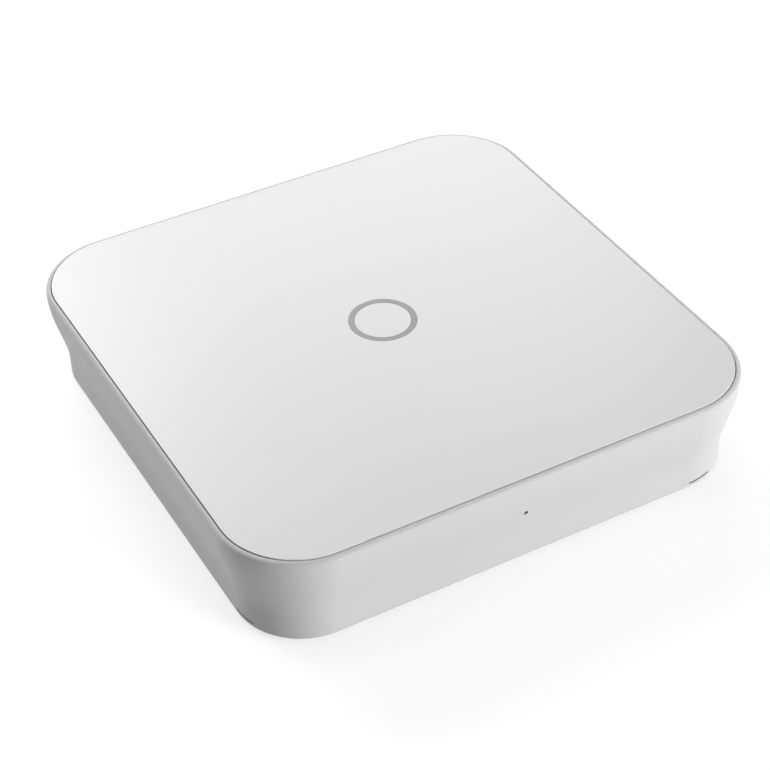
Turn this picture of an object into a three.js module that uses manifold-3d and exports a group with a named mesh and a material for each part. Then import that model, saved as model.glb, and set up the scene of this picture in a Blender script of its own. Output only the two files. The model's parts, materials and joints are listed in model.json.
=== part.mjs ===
// Smart home hub: a low square box with a flat top panel, a status ring and a concave side wall.
// Millimetres, +Z up. The origin is on the table, under the middle of the hub. The front, with the
// reset pinhole, faces -Y, and the bay with the sockets faces +Y.

import * as THREE from 'three';
import { mergeVertices } from 'three/addons/utils/BufferGeometryUtils.js';
import Module from 'manifold-3d';

const wasm = await Module();
wasm.setup();

// ---------------------------------------------------------------- driving dimensions

const clearance = {
  loose: 0.5,        // round a socket in its hole
  fit: 0.3,          // between pieces that are put together by hand
  contact: 0.15,     // left between pieces that rest on each other
  hairline: 0.1,     // between the panel, the ring and its centre
};

const body = {
  width: 150,        // over the rim, both ways
  height: 29.4,      // from the underside to the panel's face
  footStand: 0.8,    // the feet lift the underside by this much
  wall: 2.4,
  rimCornerRadius: 22.4,
  coveDepth: 3.75,   // how far the side wall draws in below the rim
  coveStart: 2.2,    // below the panel's face, where the wall begins to draw in
  coveLength: 21.5,  // height over which it draws in
  footRound: 0.6,
  rimRoll: 1.1,      // height of the rounded rim
  rimLand: 0.15,     // flat strip beside the groove
  rimDrop: 0.25,     // the rim lies this much below the panel's face
};

const panel = { inset: 1.6, thickness: 1.6, groove: 0.25 };
const tape = { thickness: 0.4, width: 9 };
const deck = { thickness: 1.8 };

const ring = {
  outerRadius: 9.37,
  width: 1.65,
  discThickness: 1.6,
  webThickness: 1.2,
  flangeWidth: 2.23,
  flangeThickness: 1.2,
};

const lamp = { count: 6, size: 2.2, height: 0.8, gap: 1.0 };
const ledBoard = { thickness: 1.2, bossRadius: 2.3, edge: 2.8 };

const cover = { thickness: 2, ribHeight: 5, ribThickness: 1.2 };
const foot = { radius: 6.5, thickness: 2, inward: 2.6, bevel: 0.4 };
const keyhole = { headRadius: 4, slotRadius: 2, length: 8, x: 36, y: 30 };
const vent = { count: 9, width: 2, length: 22, pitch: 4.2, x: 26, y: -34 };
const label = { width: 52, depth: 30, recess: 0.5, thickness: 0.3, y: 2 };

const caseScrew = {
  outward: 5.4, headRadius: 2.5, headHeight: 1.6, shankRadius: 1.3, length: 9,
  boss: 3.6, cup: 3.2,                  // radius of its boss, and height of its cup above the cover
};
const smallScrew = { headRadius: 2, headHeight: 1.3, shankRadius: 1, length: 3.4 };
const cross = { reach: 1.2, width: 0.3, depth: 0.6 };   // shares of a screw head's radius and height

const slit = { length: 7, height: 0.6, depth: 1.6, above: 1.2, turn: 11 };
const pinhole = { radius: 0.68, below: 12.3 };

const bay = { width: 78, below: 2.45, above: 1.75, depth: 2.75, wall: 2 };

const board = { thickness: 1.6, standoff: 3.5, frontMargin: 7, neckLeft: -8, neckBack: 14 };
const boardScrew = { inset: 4.5, standoffRadius: 3 };

const ethernet = {
  x: -24, width: 15.9, depth: 21, height: 13.4,
  mouthWidth: 11.8, mouthHeight: 6.8, mouthDepth: 13, mouthUp: 3,
  latchWidth: 6.2, latchHeight: 2.1,
};
const usb = {
  x: -2, width: 13.2, depth: 14, height: 5.8, wall: 0.45,
  mouthDepth: 12, tongueWidth: 11.1, tongueHeight: 1.9, tongueLength: 12.5,
};
const power = { x: 14, width: 9, depth: 13.5, height: 11, boreRadius: 3.2, boreDepth: 9.5, pinRadius: 1 };
const slider = {
  x: 28, width: 11, depth: 5, height: 5.6,
  knobWidth: 3, knobHeight: 2.4, knobOut: 1.8, knobIn: 4.4, travel: 2,
};

const resetSwitch = {
  boardWidth: 12, boardThickness: 1.2, boardOver: 4, setBack: 9.5,
  size: 6, depth: 3.8, bore: 1.9, stemRadius: 1.6, stemOut: 2.4,
  collar: 2.3, collarThickness: 0.5, travel: 0.35,
};

const chip = {
  processor: { x: 30, y: 4, size: 19, height: 1.2 },
  pad: { size: 18, height: 0.5 },
  sink: { size: 28, base: 2, height: 7, fins: 7, finThickness: 1.2 },
  memory: { x: 24, y: -22, width: 13, depth: 9, height: 1 },
};
const module = { depth: 22, thickness: 0.8, canInset: 1, canDepth: 14, canHeight: 2.4 };
const radio = { x: -39.8, y: 30, width: 13 };
const wifi = { x: 45, y: -26, width: 15 };
const capacitor = { count: 2, x: 14, y: 40, radius: 4, height: 11, pitch: 11, groove: 0.4, grooveAt: 1.1 };
const inductor = { x: 40, y: 38, size: 9, height: 4.2 };
const transformer = { width: 17, depth: 11, height: 6, gap: 3 };

const antenna = { length: 42, height: 11, thickness: 1, y: -12, bottom: 11 };
const lead = { radius: 0.6, pairRadius: 0.9, sides: 8, steps: 14, straight: 2 };
const ledCable = { width: 6, thickness: 0.4, left: 1, right: 11 };

const battery = { width: 42, depth: 56, height: 9, fromWall: 11, y: -24, corner: 3 };
const batteryPad = { thickness: 0.6, inset: 4 };
const plug = { width: 5, depth: 7, height: 5, x: -3.5, y: -24 };
const sounder = { radius: 13, height: 5, x: 36, y: -44, rimWidth: 2, rimHeight: 1 };

const detail = { cornerSteps: 8, coveSteps: 8, roundSteps: 4, round: 24, smallRound: 12 };

// ---------------------------------------------------------------- places worked out from them

const halfTurn = Math.PI;
const quarterTurn = Math.PI / 2;
const through = 1;                                    // how far a cutter runs past a face

const rimHalf = body.width / 2;
const cornerCentre = rimHalf - body.rimCornerRadius;  // every corner arc shares this centre
const footHalf = rimHalf - body.coveDepth;
const cavityHalf = footHalf - body.wall;
const screwPlace = cornerCentre + caseScrew.outward;
const footPlace = cornerCentre - foot.inward;
const panelHalf = rimHalf - panel.inset;
const grooveHalf = panelHalf + panel.groove;

const undersideZ = body.footStand;
const topZ = undersideZ + body.height;
const deckTopZ = topZ - panel.thickness - tape.thickness - 2 * clearance.contact;
const deckBottomZ = deckTopZ - deck.thickness;
const coverTopZ = undersideZ + cover.thickness;
const boardBottomZ = coverTopZ + board.standoff;
const boardTopZ = boardBottomZ + board.thickness;
const seatZ = boardTopZ + clearance.contact;          // underside of what is soldered to the board

const bayFloorY = footHalf - bay.depth;
const bayInnerY = bayFloorY - bay.wall;
const boardBackY = bayInnerY - clearance.loose;
const boardHalfX = screwPlace - caseScrew.boss - clearance.loose;
const boardFrontY = -cavityHalf + board.frontMargin;
const pinholeZ = topZ - pinhole.below;
const sockets = [ethernet, usb, power, slider];
const bayBottom = seatZ - bay.below;
const bayTop = seatZ + Math.max(...sockets.map((socket) => socket.height)) + bay.above;

const ringInnerRadius = ring.outerRadius - ring.width;
const flangeRadius = ring.outerRadius + ring.flangeWidth;
const ledScrewRadius = flangeRadius + ledBoard.bossRadius + clearance.fit;
const ledBoardRadius = ledScrewRadius + ledBoard.edge;
const batteryX = -cavityHalf + battery.fromWall + battery.width / 2;

// ---------------------------------------------------------------- materials

function plastic(color, roughness) {
  return new THREE.MeshStandardMaterial({ color, roughness, metalness: 0 });
}

function metal(color, roughness) {
  return new THREE.MeshStandardMaterial({ color, roughness, metalness: 1 });
}

const look = {
  shell: () => plastic(0xe9e9e9, 0.5),
  panel: () => plastic(0xefefef, 0.4),
  ring: () => plastic(0xa4a4a4, 0.35),
  cover: () => plastic(0xdedede, 0.6),
  rubber: () => plastic(0x3c3d3f, 0.85),
  label: () => plastic(0xf4f4f2, 0.7),
  tape: () => plastic(0x2a2a2c, 0.9),
  board: () => plastic(0x1d5b3a, 0.5),
  blackPlastic: () => plastic(0x18191b, 0.45),
  lampBody: () => plastic(0xf7f3dc, 0.3),
  pad: () => plastic(0x8fa3b5, 0.8),
  ribbon: () => plastic(0xdfe3e6, 0.5),
  wire: () => plastic(0x202124, 0.5),
  cell: () => plastic(0x3569a8, 0.45),
  foam: () => plastic(0x4a4b4e, 0.95),
  ivory: () => plastic(0xece6d2, 0.45),
  steel: () => metal(0xb9bcc0, 0.35),
  aluminium: () => metal(0xa9adb2, 0.4),
  gold: () => metal(0xc9a349, 0.3),
};

// ---------------------------------------------------------------- helpers: shapes

function squareOutline(half) {
  const radius = half - cornerCentre;
  const points = [];
  for (let corner = 0; corner < 4; corner += 1) {
    const start = corner * quarterTurn;
    const centre = new THREE.Vector2(cornerCentre, cornerCentre).rotateAround(new THREE.Vector2(), start);
    for (let step = 0; step <= detail.cornerSteps; step += 1) {
      const angle = start + (step / detail.cornerSteps) * quarterTurn;
      points.push(new THREE.Vector2(radius * Math.cos(angle), radius * Math.sin(angle)).add(centre));
    }
  }
  return points;
}

function slab(shape, bottom, top) {
  const settings = { depth: top - bottom, bevelEnabled: false, curveSegments: detail.cornerSteps };
  return new THREE.ExtrudeGeometry(shape, settings).translate(0, 0, bottom);
}

function squareSlab(half, bottom, top) {
  return slab(new THREE.Shape(squareOutline(half)), bottom, top);
}

function block(width, depth, height, x, y, bottom) {
  return new THREE.BoxGeometry(width, depth, height).translate(x, y, bottom + height / 2);
}

function rod(radius, bottom, top, x = 0, y = 0, sides = detail.round) {
  const upright = new THREE.CylinderGeometry(radius, radius, top - bottom, sides).rotateX(quarterTurn);
  return upright.translate(x, y, (bottom + top) / 2);
}

function rodAlongY(radius, front, back, x, z, sides = detail.round) {
  return new THREE.CylinderGeometry(radius, radius, back - front, sides).translate(x, (front + back) / 2, z);
}

function turned(points, sides = detail.round) {
  const profile = points.map(([radius, height]) => new THREE.Vector2(radius, height));
  return new THREE.LatheGeometry(profile, sides).rotateX(quarterTurn);
}

// A closed body through a stack of square outlines, given as [half width, height] from below upwards.
function loft(stations) {
  const outlines = stations.map(([half]) => squareOutline(half));
  const count = outlines[0].length;
  const positions = [];
  stations.forEach(([, height], level) => {
    outlines[level].forEach((point) => positions.push(point.x, point.y, height));
  });
  const indices = [];
  for (let level = 0; level < stations.length - 1; level += 1) {
    for (let side = 0; side < count; side += 1) {
      const here = level * count + side;
      const next = level * count + ((side + 1) % count);
      indices.push(here, next, next + count, here, next + count, here + count);
    }
  }
  const lastRing = (stations.length - 1) * count;
  THREE.ShapeUtils.triangulateShape(outlines[0], []).forEach(([a, b, c]) => indices.push(a, c, b));
  THREE.ShapeUtils.triangulateShape(outlines[stations.length - 1], []).forEach(([a, b, c]) => {
    indices.push(lastRing + a, lastRing + b, lastRing + c);
  });
  const geometry = new THREE.BufferGeometry();
  geometry.setAttribute('position', new THREE.Float32BufferAttribute(positions, 3));
  geometry.setIndex(indices);
  return geometry;
}

function tubeAlong(points, radius = lead.radius) {
  const section = new THREE.Shape();
  for (let side = 0; side < lead.sides; side += 1) {
    const angle = (side / lead.sides) * 2 * halfTurn;
    const corner = [radius * Math.cos(angle), radius * Math.sin(angle)];
    if (side === 0) {
      section.moveTo(...corner);
    } else {
      section.lineTo(...corner);
    }
  }
  const route = new THREE.CatmullRomCurve3(points.map((point) => new THREE.Vector3(...point)));
  return new THREE.ExtrudeGeometry(section, { steps: lead.steps, extrudePath: route });
}

// ---------------------------------------------------------------- helpers: joins and cuts

function toSolid(geometry) {
  const bare = geometry.clone();
  bare.deleteAttribute('normal');
  bare.deleteAttribute('uv');
  const merged = mergeVertices(bare);
  const index = merged.index.array;
  const triangles = [];
  for (let at = 0; at < index.length; at += 3) {
    const [a, b, c] = [index[at], index[at + 1], index[at + 2]];
    if (a !== b && b !== c && c !== a) {
      triangles.push(a, b, c);
    }
  }
  const vertProperties = Float32Array.from(merged.attributes.position.array);
  const triVerts = Uint32Array.from(triangles);
  return new wasm.Manifold(new wasm.Mesh({ numProp: 3, vertProperties, triVerts }));
}

function combine(start, added, removed) {
  const joined = added.reduce((solid, geometry) => solid.add(toSolid(geometry)), toSolid(start));
  const cut = removed.reduce((solid, geometry) => solid.subtract(toSolid(geometry)), joined);
  const mesh = cut.getMesh();
  const geometry = new THREE.BufferGeometry();
  geometry.setAttribute('position', new THREE.BufferAttribute(mesh.vertProperties, mesh.numProp));
  geometry.setIndex(new THREE.BufferAttribute(mesh.triVerts, 1));
  return geometry;
}

const hub = new THREE.Group();

function addPiece(name, geometry, material, x = 0, y = 0, z = 0) {
  const mesh = new THREE.Mesh(geometry, material);
  mesh.name = name;
  mesh.position.set(x, y, z);
  hub.add(mesh);
}

function fourCorners(place) {
  return [[place, place], [-place, place], [-place, -place], [place, -place]];
}

// ---------------------------------------------------------------- housing

// The wall draws in on an S-shaped curve: convex under the rim, concave above the foot.
function wallHalf(height) {
  const coveTop = topZ - body.coveStart;
  const coveBottom = coveTop - body.coveLength;
  return footHalf + body.coveDepth * THREE.MathUtils.smoothstep(height, coveBottom, coveTop);
}

function housingOutside() {
  const stations = [];
  for (let step = 0; step < detail.roundSteps; step += 1) {
    const angle = (step / detail.roundSteps) * quarterTurn;
    const half = footHalf - body.footRound * (1 - Math.sin(angle));
    stations.push([half, undersideZ + body.footRound * (1 - Math.cos(angle))]);
  }
  stations.push([footHalf, undersideZ + body.footRound]);
  const coveTop = topZ - body.coveStart;
  for (let step = 0; step <= detail.coveSteps; step += 1) {
    const height = coveTop - body.coveLength * (1 - step / detail.coveSteps);
    stations.push([wallHalf(height), height]);
  }
  const landHalf = grooveHalf + body.rimLand;
  const rollZ = topZ - body.rimDrop - body.rimRoll;
  for (let step = 0; step <= detail.roundSteps; step += 1) {
    const angle = (step / detail.roundSteps) * quarterTurn;
    const half = landHalf + (rimHalf - landHalf) * Math.cos(angle);
    stations.push([half, rollZ + body.rimRoll * Math.sin(angle)]);
  }
  return loft(stations);
}

function housingInside() {
  const stations = [[cavityHalf, undersideZ - through]];
  const steps = detail.coveSteps - 1;
  const start = topZ - body.coveStart - body.coveLength;
  for (let step = 0; step <= steps; step += 1) {
    const height = start + (deckBottomZ - start) * (step / steps);
    stations.push([wallHalf(height) - body.wall, height]);
  }
  return combine(loft(stations), [], [bayBlock()]);
}

// The block of wall that the socket bay is sunk into, seen from inside.
function bayBlock() {
  const width = bay.width + 2 * bay.wall;
  const depth = rimHalf - bayInnerY + through;
  const bottom = bayBottom - bay.wall;
  return block(width, depth, deckBottomZ - bottom + through, 0, bayInnerY + depth / 2, bottom);
}

function bayCuts() {
  const depth = rimHalf - bayFloorY + through;
  const cuts = [block(bay.width, depth, bayTop - bayBottom, 0, bayFloorY + depth / 2, bayBottom)];
  sockets.forEach((socket) => {
    const wide = socket.width + 2 * clearance.fit;
    const tall = socket.height + 2 * clearance.fit;
    const deep = bay.wall + 2 * through;
    cuts.push(block(wide, deep, tall, socket.x, bayInnerY + bay.wall / 2, seatZ - clearance.fit));
  });
  return cuts;
}

// One slit at the foot of each corner, where its arc begins.
function footSlits() {
  const turn = THREE.MathUtils.degToRad(slit.turn);
  const radius = footHalf - cornerCentre;
  return fourCorners(cornerCentre).map(([x, y], corner) => {
    const reach = radius - slit.depth + (slit.depth + through) / 2;
    const cutter = block(slit.depth + through, slit.length, slit.height, reach, 0, undersideZ + slit.above);
    return cutter.rotateZ(corner * quarterTurn + turn).translate(x, y, 0);
  });
}

function addHousing() {
  const screwTop = coverTopZ + caseScrew.length + through;
  const bosses = fourCorners(screwPlace).map(([x, y]) => {
    const bottom = coverTopZ + caseScrew.cup;
    return rod(caseScrew.boss, bottom, deckBottomZ + through / 2, x, y, detail.smallRound);
  });
  const screwHoles = fourCorners(screwPlace).map(([x, y]) => {
    return rod(caseScrew.shankRadius + clearance.fit, coverTopZ, screwTop, x, y, detail.smallRound);
  });
  const ledBoardZ = deckBottomZ - ring.flangeThickness - lamp.gap - lamp.height;
  const ledBosses = [-1, 1].map((side) => {
    const x = side * ledScrewRadius;
    return rod(ledBoard.bossRadius, ledBoardZ, deckBottomZ + through / 2, x, 0, detail.smallRound);
  });
  const ledHoles = [-1, 1].map((side) => {
    const x = side * ledScrewRadius;
    const top = ledBoardZ + smallScrew.length - ledBoard.thickness + clearance.fit;
    return rod(smallScrew.shankRadius + clearance.fit, ledBoardZ - through, top, x, 0, detail.smallRound);
  });
  const recess = squareSlab(grooveHalf, deckTopZ, topZ + through);
  const ringHole = rod(ring.outerRadius + clearance.fit, deckBottomZ - through, deckTopZ + through);
  const holeBack = -cavityHalf + through;
  const resetHole = rodAlongY(pinhole.radius, -rimHalf, holeBack, 0, pinholeZ, detail.smallRound);
  const hollow = combine(housingOutside(), [], [housingInside(), recess]);
  const cuts = [...screwHoles, ...ledHoles, ...bayCuts(), ...footSlits(), ringHole, resetHole];
  addPiece('housing', combine(hollow, [...bosses, ...ledBosses], cuts), look.shell());
}

// ---------------------------------------------------------------- panel and status ring

function addPanel() {
  const hole = rod(ring.outerRadius + clearance.hairline, -through, panel.thickness + through);
  const plate = combine(squareSlab(panelHalf, 0, panel.thickness), [], [hole]);
  addPiece('top_panel', plate, look.panel(), 0, 0, topZ - panel.thickness);

  const outer = new THREE.Shape(squareOutline(panelHalf - clearance.fit));
  outer.holes.push(new THREE.Path(squareOutline(panelHalf - tape.width)));
  addPiece('panel_tape', slab(outer, 0, tape.thickness), look.tape(), 0, 0, deckTopZ + clearance.contact);
}

function addLightRing() {
  const discBottom = topZ - ring.discThickness;
  const webTop = discBottom - clearance.contact;
  const webBottom = webTop - ring.webThickness;
  const flangeTop = deckBottomZ - clearance.contact;
  const flangeBottom = flangeTop - ring.flangeThickness;
  const guide = turned([
    [0, webBottom],
    [ringInnerRadius, webBottom],
    [ringInnerRadius, flangeBottom],
    [flangeRadius, flangeBottom],
    [flangeRadius, flangeTop],
    [ring.outerRadius, flangeTop],
    [ring.outerRadius, topZ],
    [ringInnerRadius, topZ],
    [ringInnerRadius, webTop],
    [0, webTop],
  ], detail.round * 2);
  addPiece('light_ring', guide, look.ring());

  const disc = rod(ringInnerRadius - clearance.hairline, discBottom, topZ, 0, 0, detail.round * 2);
  addPiece('ring_center', disc, look.panel());
}

function crossScrew(screw) {
  const slot = screw.headRadius * cross.reach;
  const groove = screw.headRadius * cross.width;
  const depth = screw.headHeight * cross.depth;
  const shape = turned([
    [0, 0],
    [screw.headRadius, 0],
    [screw.headRadius, screw.headHeight],
    [screw.shankRadius, screw.headHeight],
    [screw.shankRadius, screw.headHeight + screw.length],
    [0, screw.headHeight + screw.length],
  ], detail.smallRound);
  const bars = [
    block(slot, groove, depth + through, 0, 0, -through),
    block(groove, slot, depth + through, 0, 0, -through),
  ];
  return combine(shape, [], bars);
}

function addRingLamps() {
  const boardTop = deckBottomZ - ring.flangeThickness - lamp.gap - lamp.height - clearance.contact;
  const boardBottom = boardTop - ledBoard.thickness;
  const holes = [-1, 1].map((side) => {
    const x = side * ledScrewRadius;
    return rod(smallScrew.shankRadius + clearance.fit, boardBottom - through, boardTop + through, x, 0);
  });
  addPiece('led_board', combine(rod(ledBoardRadius, boardBottom, boardTop), [], holes), look.board());
  const lampRadius = (ring.outerRadius + ringInnerRadius) / 2;
  for (let index = 0; index < lamp.count; index += 1) {
    const angle = ((index + 0.5) / lamp.count) * 2 * halfTurn;
    const x = lampRadius * Math.cos(angle);
    const y = lampRadius * Math.sin(angle);
    const shape = block(lamp.size, lamp.size, lamp.height, x, y, boardTop + clearance.contact);
    addPiece(`led_${index + 1}`, shape, look.lampBody());
  }
  [-1, 1].forEach((side, index) => {
    const z = boardBottom - clearance.contact - smallScrew.headHeight;
    const x = side * ledScrewRadius;
    addPiece(`led_screw_${index + 1}`, crossScrew(smallScrew), look.steel(), x, 0, z);
  });
  addLedCable(boardBottom);
}

// A flat cable that hangs in an S from the ring's board to the main board.
function addLedCable(boardBottom) {
  const { width, thickness, left, right } = ledCable;
  const topEnd = boardBottom - clearance.fit - thickness;
  const lowEnd = seatZ + clearance.fit;
  const middle = (left + right) / 2;
  const route = new THREE.CubicBezierCurve(
    new THREE.Vector2(left, topEnd),
    new THREE.Vector2(right + middle, topEnd),
    new THREE.Vector2(left - middle, lowEnd),
    new THREE.Vector2(right, lowEnd),
  );
  const centre = route.getPoints(detail.round);
  const upper = centre.map((point, at) => {
    const along = route.getTangent(at / detail.round);
    return point.clone().add(new THREE.Vector2(-along.y, along.x).multiplyScalar(thickness));
  });
  const strip = new THREE.Shape([...centre, ...upper.reverse()]);
  const cable = new THREE.ExtrudeGeometry(strip, { depth: width, bevelEnabled: false });
  addPiece('led_cable', cable.rotateX(quarterTurn).translate(0, width / 2, 0), look.ribbon());
}

// ---------------------------------------------------------------- bottom cover, feet and case screws

function keyholeCutters(side) {
  const bottom = undersideZ - through;
  const top = coverTopZ + through;
  const x = side * keyhole.x;
  return [
    rod(keyhole.headRadius, bottom, top, x, keyhole.y),
    block(2 * keyhole.slotRadius, keyhole.length, top - bottom, x, keyhole.y + keyhole.length / 2, bottom),
    rod(keyhole.slotRadius, bottom, top, x, keyhole.y + keyhole.length),
  ];
}

function ventCutters() {
  const tall = cover.thickness + 2 * through;
  const cutters = [];
  for (let index = 0; index < vent.count; index += 1) {
    const x = vent.x + (index - (vent.count - 1) / 2) * vent.pitch;
    cutters.push(block(vent.width, vent.length, tall, x, vent.y, undersideZ - through));
  }
  return cutters;
}

// Four ribs round the battery, joined at their corners.
function batteryRibs() {
  const inset = clearance.loose + cover.ribThickness / 2;
  const wide = battery.width + 2 * clearance.loose + 2 * cover.ribThickness;
  const deep = battery.depth + 2 * clearance.loose + 2 * cover.ribThickness;
  const bottom = coverTopZ - through / 2;
  const height = cover.ribHeight + through / 2;
  const ribs = [];
  [-1, 1].forEach((side) => {
    const x = batteryX + side * (battery.width / 2 + inset);
    const y = battery.y + side * (battery.depth / 2 + inset);
    ribs.push(block(cover.ribThickness, deep, height, x, battery.y, bottom));
    ribs.push(block(wide, cover.ribThickness, height, batteryX, y, bottom));
  });
  return ribs;
}

function boardScrewPlaces() {
  const right = boardHalfX - boardScrew.inset;
  const back = boardBackY - boardScrew.inset;
  const front = boardFrontY + boardScrew.inset;
  const neck = board.neckBack + boardScrew.inset;
  return [[right, back - ethernet.depth], [-right, back - ethernet.depth], [-right, neck], [right, front]];
}

function addBottomCover() {
  const coverHalf = cavityHalf - clearance.fit;
  const standoffs = boardScrewPlaces().map(([x, y]) => {
    return rod(boardScrew.standoffRadius, coverTopZ - through / 2, boardBottomZ - clearance.contact, x, y);
  });
  const screwHole = smallScrew.shankRadius + clearance.fit;
  const standoffHoles = boardScrewPlaces().map(([x, y]) => {
    return rod(screwHole, coverTopZ, boardBottomZ + through, x, y, detail.smallRound);
  });
  const cups = fourCorners(screwPlace).map(([x, y]) => {
    return rod(caseScrew.boss, coverTopZ - through / 2, coverTopZ + caseScrew.cup - clearance.fit, x, y);
  });
  const headHoles = fourCorners(screwPlace).map(([x, y]) => {
    return rod(caseScrew.headRadius + clearance.fit, undersideZ - through, coverTopZ + clearance.fit, x, y);
  });
  const shankHoles = fourCorners(screwPlace).map(([x, y]) => {
    const top = coverTopZ + caseScrew.cup + through;
    return rod(caseScrew.shankRadius + clearance.fit, undersideZ, top, x, y, detail.smallRound);
  });
  const pockets = fourCorners(footPlace).map(([x, y]) => {
    const top = foot.thickness + clearance.contact;
    return rod(foot.radius + clearance.fit, undersideZ - through, top, x, y);
  });
  const recess = block(label.width, label.depth, label.recess + through, 0, label.y, undersideZ - through);
  const cuts = [
    ...standoffHoles, ...headHoles, ...shankHoles, ...pockets, recess,
    ...keyholeCutters(-1), ...keyholeCutters(1), ...ventCutters(),
  ];
  const plate = squareSlab(coverHalf, undersideZ, coverTopZ);
  addPiece('bottom_cover', combine(plate, [...standoffs, ...cups, ...batteryRibs()], cuts), look.cover());

  const labelWidth = label.width - 2 * clearance.fit;
  const labelDepth = label.depth - 2 * clearance.fit;
  const labelZ = undersideZ + label.recess - clearance.contact - label.thickness;
  addPiece('rating_plate', block(labelWidth, labelDepth, label.thickness, 0, label.y, labelZ), look.label());
}

function addFeet() {
  fourCorners(footPlace).forEach(([x, y], index) => {
    const pad = turned([
      [0, 0],
      [foot.radius - foot.bevel, 0],
      [foot.radius, foot.bevel],
      [foot.radius, foot.thickness],
      [0, foot.thickness],
    ]);
    addPiece(`foot_${index + 1}`, pad, look.rubber(), x, y, 0);
  });
}

function addCaseScrews() {
  const headBottom = coverTopZ + clearance.fit - clearance.contact - caseScrew.headHeight;
  fourCorners(screwPlace).forEach(([x, y], index) => {
    addPiece(`case_screw_${index + 1}`, crossScrew(caseScrew), look.steel(), x, y, headBottom);
  });
}

// ---------------------------------------------------------------- main board and what is on it

// An L: a wide back behind the sockets and a neck that runs forward beside the battery.
function addMainBoard() {
  const outline = new THREE.Shape();
  outline.moveTo(board.neckLeft, boardFrontY);
  outline.lineTo(boardHalfX, boardFrontY);
  outline.lineTo(boardHalfX, boardBackY - ethernet.depth);
  outline.lineTo(bay.width / 2, boardBackY - ethernet.depth);
  outline.lineTo(bay.width / 2, boardBackY);
  outline.lineTo(-bay.width / 2, boardBackY);
  outline.lineTo(-bay.width / 2, boardBackY - ethernet.depth);
  outline.lineTo(-boardHalfX, boardBackY - ethernet.depth);
  outline.lineTo(-boardHalfX, board.neckBack);
  outline.lineTo(board.neckLeft, board.neckBack);
  outline.closePath();
  const holes = boardScrewPlaces().map(([x, y]) => {
    return rod(smallScrew.shankRadius + clearance.fit, boardBottomZ - through, boardTopZ + through, x, y);
  });
  addPiece('main_board', combine(slab(outline, boardBottomZ, boardTopZ), [], holes), look.board());
  boardScrewPlaces().forEach(([x, y], index) => {
    const screw = crossScrew(smallScrew).rotateX(halfTurn);
    addPiece(`board_screw_${index + 1}`, screw, look.steel(), x, y, seatZ + smallScrew.headHeight);
  });
}

function addProcessor() {
  const { processor, pad, sink, memory } = chip;
  const { x: chipX, y: chipY } = processor;
  const die = block(processor.size, processor.size, processor.height, 0, 0, 0);
  addPiece('processor', die, look.blackPlastic(), chipX, chipY, seatZ);
  const padZ = seatZ + processor.height + clearance.contact;
  addPiece('thermal_pad', block(pad.size, pad.size, pad.height, 0, 0, 0), look.pad(), chipX, chipY, padZ);
  const fins = [];
  for (let index = 0; index < sink.fins; index += 1) {
    const x = (index / (sink.fins - 1) - 0.5) * (sink.size - sink.finThickness);
    fins.push(block(sink.finThickness, sink.size, sink.height - sink.base / 2, x, 0, sink.base / 2));
  }
  const comb = combine(block(sink.size, sink.size, sink.base, 0, 0, 0), fins, []);
  const sinkZ = padZ + pad.height + clearance.contact;
  addPiece('heat_sink', comb, look.aluminium(), chipX, chipY, sinkZ);
  const store = block(memory.width, memory.depth, memory.height, 0, 0, 0);
  addPiece('memory_chip', store, look.blackPlastic(), memory.x, memory.y, seatZ);
}

// A small radio board with a metal can over its chip.
function addModule(name, place) {
  const base = block(place.width, module.depth, module.thickness, 0, 0, 0);
  addPiece(`${name}_module`, base, look.board(), place.x, place.y, seatZ);
  const can = block(place.width - 2 * module.canInset, module.canDepth, module.canHeight, 0, 0, 0);
  const canZ = seatZ + module.thickness + clearance.contact;
  addPiece(`${name}_shield`, can, look.steel(), place.x, place.y, canZ);
}

function addPowerParts() {
  const { radius, height, groove, grooveAt } = capacitor;
  for (let index = 0; index < capacitor.count; index += 1) {
    const x = capacitor.x + index * capacitor.pitch;
    const can = turned([
      [0, 0],
      [radius, 0],
      [radius, grooveAt],
      [radius - groove, grooveAt + groove],
      [radius, grooveAt + 2 * groove],
      [radius, height],
      [0, height],
    ], detail.smallRound);
    addPiece(`capacitor_${index + 1}`, can, look.aluminium(), x, capacitor.y, seatZ);
  }
  const coil = block(inductor.size, inductor.size, inductor.height, 0, 0, 0);
  addPiece('inductor', coil, look.blackPlastic(), inductor.x, inductor.y, seatZ);
  const transformerY = bayFloorY - ethernet.depth - transformer.gap - transformer.depth / 2;
  const isolator = block(transformer.width, transformer.depth, transformer.height, 0, 0, 0);
  addPiece('transformer', isolator, look.blackPlastic(), ethernet.x, transformerY, seatZ);
}

// ---------------------------------------------------------------- sockets and the power switch

function addEthernetJack() {
  const shell = block(ethernet.width, ethernet.depth, ethernet.height, 0, -ethernet.depth / 2, 0);
  const deep = ethernet.mouthDepth + through;
  const middle = through - deep / 2;
  const mouth = block(ethernet.mouthWidth, deep, ethernet.mouthHeight, 0, middle, ethernet.mouthUp);
  const latchZ = ethernet.mouthUp + ethernet.mouthHeight - through / 2;
  const latch = block(ethernet.latchWidth, deep, ethernet.latchHeight + through / 2, 0, middle, latchZ);
  addPiece('ethernet_jack', combine(shell, [], [mouth, latch]), look.steel(), ethernet.x, bayFloorY, seatZ);
}

function addUsbPort() {
  const shell = block(usb.width, usb.depth, usb.height, 0, -usb.depth / 2, 0);
  const deep = usb.mouthDepth + through;
  const innerWidth = usb.width - 2 * usb.wall;
  const innerHeight = usb.height - 2 * usb.wall;
  const mouth = block(innerWidth, deep, innerHeight, 0, through - deep / 2, usb.wall);
  const hollow = combine(shell, [], [mouth]);
  const tongueZ = usb.height - usb.wall - clearance.loose - usb.tongueHeight;
  const tongueY = usb.tongueLength / 2 - usb.depth;
  const tongue = block(usb.tongueWidth, usb.tongueLength, usb.tongueHeight, 0, tongueY, tongueZ);
  addPiece('usb_port', combine(hollow, [tongue], []), look.steel(), usb.x, bayFloorY, seatZ);
}

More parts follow.
